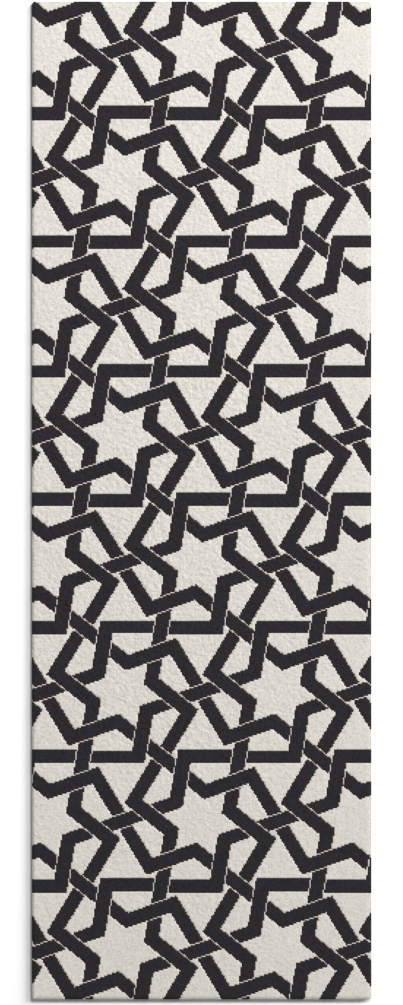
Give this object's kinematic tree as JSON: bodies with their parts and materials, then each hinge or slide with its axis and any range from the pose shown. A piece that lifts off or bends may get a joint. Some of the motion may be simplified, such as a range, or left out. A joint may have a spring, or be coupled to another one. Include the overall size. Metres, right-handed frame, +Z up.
{
  "type": "runner rug",
  "caption": "Long, narrow cut-pile floor rug with an ivory field and charcoal straps that interlace round six-pointed stars, lined and bound underneath.",
  "frame": {"origin": "middle of the underside", "axes": "+X across the width, +Y along the length towards the head end, +Z up through the pile"},
  "size_m": [0.813, 2.39, 0.012],
  "materials": {
    "ivory_pile": "matte cut wool pile",
    "charcoal_pile": "matte cut wool pile",
    "tufting_cotton": "plain-woven cotton",
    "latex": "matte dried latex",
    "lining_canvas": "plain-woven canvas",
    "binding_twill": "herringbone twill tape",
    "sewing_thread": "waxed cotton thread"
  },
  "bodies": {
    "root": {"binding_tape_foot": "binding_twill", "binding_tape_head": "binding_twill", "binding_tape_left": "binding_twill", "binding_tape_right": "binding_twill", "ground_pile": "ivory_pile", "latex_coat": "latex", "lining_cloth": "lining_canvas", "seam_thread_foot": "sewing_thread", "seam_thread_head": "sewing_thread", "seam_thread_left": "sewing_thread", "seam_thread_right": "sewing_thread", "strap_falling_01": "charcoal_pile", "strap_falling_02": "charcoal_pile", "strap_falling_03": "charcoal_pile", "strap_falling_04": "charcoal_pile", "strap_falling_05": "charcoal_pile", "strap_falling_06": "charcoal_pile", "strap_falling_07": "charcoal_pile", "strap_falling_08": "charcoal_pile", "strap_falling_09": "charcoal_pile", "strap_falling_10": "charcoal_pile", "strap_falling_11": "charcoal_pile", "strap_falling_12": "charcoal_pile", "strap_falling_13": "charcoal_pile", "strap_falling_14": "charcoal_pile", "strap_rising_01": "charcoal_pile", "strap_rising_02": "charcoal_pile", "strap_rising_03": "charcoal_pile", "strap_rising_04": "charcoal_pile", "strap_rising_05": "charcoal_pile", "strap_rising_06": "charcoal_pile", "strap_rising_07": "charcoal_pile", "strap_rising_08": "charcoal_pile", "strap_rising_09": "charcoal_pile", "strap_rising_10": "charcoal_pile", "strap_rising_11": "charcoal_pile", "strap_rising_12": "charcoal_pile", "strap_rising_13": "charcoal_pile", "strap_upright_01": "charcoal_pile", "strap_upright_02": "charcoal_pile", "strap_upright_03": "charcoal_pile", "strap_upright_04": "charcoal_pile", "strap_upright_05": "charcoal_pile", "strap_upright_06": "charcoal_pile", "tufting_cloth": "tufting_cotton"}
  },
  "joints": []
}
